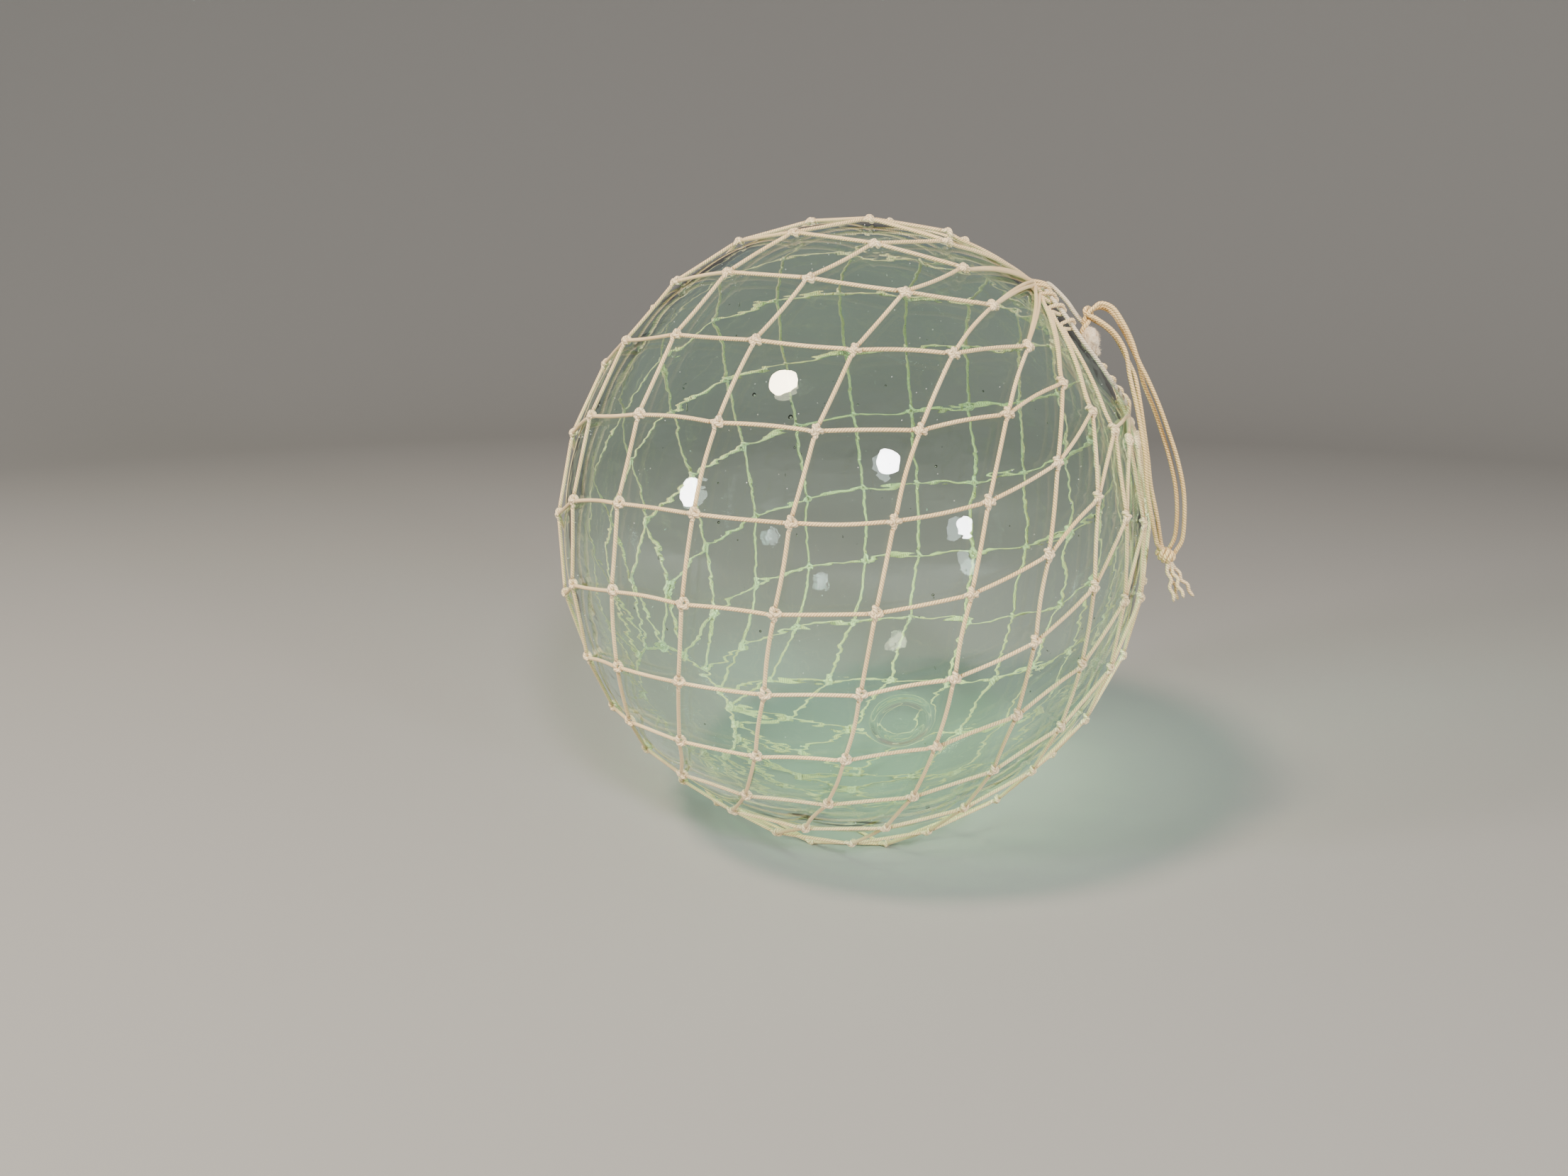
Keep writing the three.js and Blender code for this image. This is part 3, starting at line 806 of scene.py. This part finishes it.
def add_sheet_bend(bm, knot):
    """One netting knot: a bight from above, and a strand from below that turns round it."""
    mirror = -1 if knot.row % 2 else 1
    exits = knot.exits()
    up = (exits[0] + exits[1]).normalized()
    right = up.cross(knot.normal)
    tilt = Quaternion(knot.normal, math.radians(chance.uniform(-KNOT_TILT, KNOT_TILT)))
    up, right = tilt @ up, tilt @ right
    size = MM * chance.uniform(*KNOT_SIZES)

    def at(point):
        sideways, upward, outward = (number * size for number in point)
        return knot.place + right * (sideways * mirror) + up * upward + knot.normal * outward

    upper = sorted(exits[:2], key=lambda way: way.dot(right) * mirror)
    lower = sorted(exits[2:], key=lambda way: way.dot(right) * mirror)
    for (start, end), middle in ((upper, SHEET_BEND_BIGHT), (lower, SHEET_BEND_TURN)):
        ends = [knot.place + way * KNOT_EXIT for way in (start, end)]
        points = [ends[0]] + [at(point) for point in middle] + [ends[1]]
        path = smooth_path(points, SHEET_BEND_STEP)
        path = [clear_of_glass(place, STRAND_LIFT * 0.9) for place in path]
        add_twine(bm, path, TWINE_RADIUS * 1.02)


def press_on_ground(bm):
    for vert in bm.verts:
        vert.co.z = max(vert.co.z, GROUND)


def add_bights(bm, first_row):
    for index in range(-1, meshes_around - 1):
        left, right = first_row[index], first_row[index + 1]
        path = bight_path(left, right, bight_turn(index))
        left.above.append(path[0])
        right.above.append(path[-1])
        add_twine(bm, path, TWINE_RADIUS)


def add_strands(bm, rows):
    for row in rows[:-1]:
        for knot in row:
            for other in knot.below:
                bow = chance.uniform(-STRAND_BOW, STRAND_BOW)
                add_twine(bm, taut(knot.exit_to(other), other.exit_to(knot), bow), TWINE_RADIUS)


def add_far_ring(bm, far_row):
    for i, knot in enumerate(far_row):
        other = far_row[(i + 1) % meshes_around]
        add_twine(bm, taut(knot.exit_to(other), other.exit_to(knot)), TWINE_RADIUS)
        knot.below = [other, far_row[i - 1]]


def make_net():
    rows = make_rows()
    strands, knots = bmesh.new(), bmesh.new()
    add_bights(strands, rows[0])
    add_strands(strands, rows)
    add_far_ring(strands, rows[-1])
    for row in rows:
        for knot in row:
            add_sheet_bend(knots, knot)
    press_on_ground(strands)
    press_on_ground(knots)
    strand_piece = finish_piece("net_strands", strands, net_twine)
    finish_piece("net_knots", knots, knot_twine)
    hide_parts("net")


make_net()


# The taut strand's places: turns round the mouth, millimetres inward of the ring and off the glass
TAUT_STRAND = [(62, 6.4, 6.6), (36, 7.0, 6.3), (14, 2.0, 5.7), (3, 0.4, 4.9), (-14, -0.4, 3.9)]


# The drawstring, which runs through the bights, and its frayed stopper with the eye for the loop
def make_drawstring():
    """The ring of cord, which wanders a little, and the taut strand that leads over it."""
    bm = bmesh.new()
    points, outward = [], []
    for i in range(DRAWSTRING_POINTS):
        turn = 2 * math.pi * i / DRAWSTRING_POINTS
        wander = 0.0005 * math.sin(9 * turn + 1) + 0.0003 * math.sin(5 * turn)
        place, normal = on_glass(
            around_axis(mouth_frame, (MOUTH_RADIUS + wander) / KNOT_RADIUS, turn), drawstring_lift(turn))
        points.append(place)
        outward.append(normal)
    add_twine(bm, points, CORD_RADIUS, **LAID, closed=True, out=outward)
    start = stopper_middle()
    loose = [start - stopper_along() * 0.002, start + stopper_along() * 0.0045]
    for turn, inward, lift in TAUT_STRAND:
        loose.append(mouth_place(MOUTH_RADIUS - inward * MM, math.radians(turn), lift * MM))
    add_twine(bm, smooth_path(loose, TAUT_STRAND_STEP), CORD_RADIUS, **LAID)
    piece = finish_piece("drawstring_cord", bm, frayed_cord)
    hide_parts("drawstring")


def stopper_middle():
    return mouth_place(MOUTH_RADIUS - STOPPER_INSET, math.radians(STOPPER_TURN), STOPPER_LIFT)


def stopper_along():
    """The stopper's long way, up towards the taut stretch of the drawstring."""
    turn = math.radians(STOPPER_TURN)
    way = mouth_place(MOUTH_RADIUS, turn - 0.2, 0.005) - mouth_place(MOUTH_RADIUS, turn + 0.2, 0.005)
    return (way.normalized() + STOPPER_LEAN).normalized()


def add_core(bm, middle, along, length, width):
    """A lumpy body of matted fibre."""
    made = bmesh.ops.create_icosphere(bm, subdivisions=5, radius=1.0)["verts"]
    turned = along.to_track_quat("Z", "Y")
    for vert in made:
        swell = 1 + 0.14 * noise.noise(vert.co * 2.2 + Vector((5, 2, 9))) + 0.05 * noise.noise(vert.co * 9)
        size = Vector((vert.co.x * width / 2, vert.co.y * width / 2, vert.co.z * length / 2))
        vert.co = middle + turned @ size * swell


def make_stopper():
    bm = bmesh.new()
    middle, along = stopper_middle(), stopper_along()
    size = (STOPPER_LENGTH * 0.86, STOPPER_WIDTH * 0.92)
    add_wound_knot(bm, middle, along, size, STOPPER_STRAND, STOPPER_TURNS, (0.1, 0.6))
    finish_piece("stopper_knot", bm, frayed_cord)


def make_stopper_fuzz():
    """The frayed end that covers the stopper, with a short tuft below it."""
    bm = bmesh.new()
    middle, along = stopper_middle(), stopper_along()
    tuft = middle + TUFT_PLACE
    for place, way, length, width, count in (
        (middle, along, STOPPER_LENGTH, STOPPER_WIDTH, STOPPER_FIBRES),
        (tuft, TUFT_PLACE.normalized(), TUFT_LENGTH, TUFT_WIDTH, TUFT_FIBRES),
    ):
        add_core(bm, place, way, length * 0.95, width * 0.93)
        for _ in range(count):
            out = random_vector(1).normalized()
            part = out.dot(way)
            spot = place + (out - way * part) * (width * 0.44) + way * (part * length * 0.45)
            lean = out * 0.35 + way * chance.gauss(0, 0.9) + random_vector(0.6)
            add_fibre(bm, spot, lean.normalized(), chance.uniform(*FIBRE_LENGTHS), STOPPER_FIBRE_RADIUS)
    finish_piece("stopper_fuzz", bm, loose_fibre)


def make_eye():
    """Two strands twisted from the stopper up to a small eye, which holds the hanging loop."""
    bm = bmesh.new()
    middle = stopper_middle() + EYE_FOOT
    reach = EYE_TOP - middle
    way = reach.normalized()
    side = way.cross(Vector((0.6, 0.5, -0.6))).normalized()
    across = way.cross(side)
    stem = []
    for k in range(22):
        t = k / 21
        turn = 2 * math.pi * t * reach.length / EYE_TWIST
        stem.append((middle + reach * t, side * math.cos(turn) + across * math.sin(turn)))
    up_strand = [place + lean * CORD_RADIUS for place, lean in stem]
    down_strand = [place - lean * CORD_RADIUS for place, lean in stem][::-1]
    top_lean = stem[-1][1]
    loop = []
    for k in range(1, 8):
        turn = math.pi * (k / 8 - 0.5)
        spoke = way * (math.cos(turn) + 0.35) - top_lean * math.sin(turn)
        loop.append(EYE_TOP + spoke * EYE_RADIUS)
    add_twine(bm, smooth_path(up_strand + loop + down_strand, CORD_STEP), CORD_RADIUS, **LAID)
    finish_piece("loop_eye", bm, loop_cord)


def make_loop_turns():
    """Where the hanging loop's doubled cord passes through the eye."""
    bm = bmesh.new()
    for one, other, inner in (
        ("loop_leg_left_front", "loop_leg_right_front", (104.2, -60.4, 113.6)),
        ("loop_leg_left_back", "loop_leg_right_back", (104.6, -56.2, 112.9)),
    ):
        start, end = (in_metres(LEG_ROUTES[name][:2]) for name in (one, other))
        lead_in = start[0] - (start[1] - start[0]).normalized() * LOOP_LEAD
        lead_out = end[0] - (end[1] - end[0]).normalized() * LOOP_LEAD
        first, last = start[0].lerp(start[1], 0.2), end[0].lerp(end[1], 0.2)
        points = [first, lead_in, Vector(inner) * MM, lead_out, last]
        add_twine(bm, smooth_path(points, CORD_STEP), LEG_END_RADIUS, **LAID)
    finish_piece("loop_turns", bm, loop_cord)


make_drawstring()
make_stopper()
make_stopper_fuzz()
make_eye()
make_loop_turns()


# The blown ball: a wavy outer and inner face, seeds in the wall, and the round seal
def turn_inside_out(bm, made):
    bmesh.ops.reverse_faces(bm, faces=list({face for vert in made for face in vert.link_faces}))


def add_ball(bm, inset, wave):
    """A wavy ball of glass that far inside the outer face."""
    made = bmesh.ops.create_icosphere(bm, subdivisions=BALL_FINENESS, radius=1.0)["verts"]
    for vert in made:
        towards = vert.co.normalized()
        broad = noise.noise(towards * BROAD_WAVES + Vector((3, 1, 4)))
        fine = noise.noise(towards * FINE_WAVES)
        vert.co = on_glass(towards, wave * (broad + FINE_WAVE_SHARE * fine) - inset)[0]
    return made


def press_seal(bm):
    """The outer face is finer round the seal, and takes the seal's low rim and dished middle."""
    for _ in range(2):
        near = [edge for edge in bm.edges
                if all((vert.co - seal_seat).length < SEAL_FINE_REACH for vert in edge.verts)]
        bmesh.ops.subdivide_edges(bm, edges=near, cuts=1, use_grid_fill=True)
    for vert in bm.verts:
        away = (vert.co - seal_seat).length
        if away < SEAL_REACH:
            edge = 1 / (1 + math.exp((away - SEAL_RADIUS) / SEAL_SOFTNESS))
            rim = SEAL_RIM * math.exp(-(((away - SEAL_RIM_RADIUS) / SEAL_RIM_WIDTH) ** 2))
            lump = SEAL_LUMPS * noise.noise(vert.co * SEAL_LUMP_WAVES)
            vert.co += seal_normal * (SEAL_RISE * edge * (SEAL_DISH + rim + lump))


def add_seeds(bm):
    """Small round bubbles of air in the wall, a few of them long."""
    for _ in range(SEEDS):
        towards = random_vector(1).normalized()
        place = on_glass(towards, -chance.uniform(*SEED_DEPTHS))[0]
        size = min(LARGEST_SEED, SMALLEST_SEED + chance.expovariate(1 / SEED_SPREAD))
        made = bmesh.ops.create_icosphere(bm, subdivisions=2, radius=size)["verts"]
        if chance.random() < LONG_SEEDS:
            bmesh.ops.scale(bm, vec=LONG_SEED_SHAPE, verts=made)
        bmesh.ops.translate(bm, vec=place, verts=made)
        turn_inside_out(bm, made)


def make_glass():
    bm = bmesh.new()
    add_ball(bm, 0.0, OUTER_WAVE)
    press_seal(bm)
    turn_inside_out(bm, add_ball(bm, WALL, INNER_WAVE))
    add_seeds(bm)
    piece = finish_piece("glass_shell", bm, glass_material)
    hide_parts("glass_float")


def make_dust():
    """Fine specks on the glass, more of them on its top."""
    bm = bmesh.new()
    for _ in range(DUST_SPECKS):
        towards = random_vector(1).normalized()
        if chance.random() > DUST_ON_SIDES + (1 - DUST_ON_SIDES) * max(0.0, towards.z):
            continue
        place = on_glass(towards, DUST_LIFT)[0]
        size = chance.uniform(*DUST_SIZES)
        made = bmesh.ops.create_icosphere(bm, subdivisions=1, radius=size)["verts"]
        bmesh.ops.translate(bm, vec=place, verts=made)
    finish_piece("dust_specks", bm, dust_material)


make_glass()
make_dust()


# A plain pale floor and soft light
def make_floor():
    """A pale sheet that bends up into a wall far off, so that no edge shows behind the ball."""
    bm = bmesh.new()
    bmesh.ops.create_circle(bm, cap_ends=True, radius=FLOOR_REACH, segments=96)
    rim = [edge for edge in bm.edges if edge.is_boundary]
    for k in range(1, FLOOR_RINGS + 1):
        turn = math.pi / 2 * k / FLOOR_RINGS
        made = bmesh.ops.extrude_edge_only(bm, edges=rim)["geom"]
        rim = [item for item in made if isinstance(item, bmesh.types.BMEdge)]
        for vert in {vert for edge in rim for vert in edge.verts}:
            outwards = Vector((vert.co.x, vert.co.y, 0)).normalized()
            vert.co = outwards * (FLOOR_REACH + FLOOR_BEND * math.sin(turn))
            vert.co.z = FLOOR_BEND * (1 - math.cos(turn))
    material, _, shader = new_material("pale floor")
    shader.inputs["Base Color"].default_value = linear(*FLOOR_COLOUR)
    shader.inputs["Roughness"].default_value = 0.85
    shader.inputs["Specular IOR Level"].default_value = 0.2
    floor = make_object("floor", bm, material)


def add_light(name, place, size, power, colour):
    light = bpy.data.lights.new(name, "AREA")
    light.shape = "DISK"
    light.size = size
    light.energy = power
    light.color = colour
    lamp = bpy.data.objects.new(name, light)
    lamp.location = place
    lamp.rotation_euler = (BALL_MIDDLE - Vector(place)).to_track_quat("-Z", "Y").to_euler()
    bpy.context.collection.objects.link(lamp)


def make_world():
    world = bpy.data.worlds.new("studio")
    bpy.context.scene.world = world
    world.use_nodes = True
    background = world.node_tree.nodes["Background"]
    background.inputs["Color"].default_value = (WORLD_GREY, WORLD_GREY, WORLD_GREY, 1)
    background.inputs["Strength"].default_value = 1.0


make_floor()
make_world()
for name, place, size, power, colour in LIGHTS:
    add_light(name, place, size, power, colour)
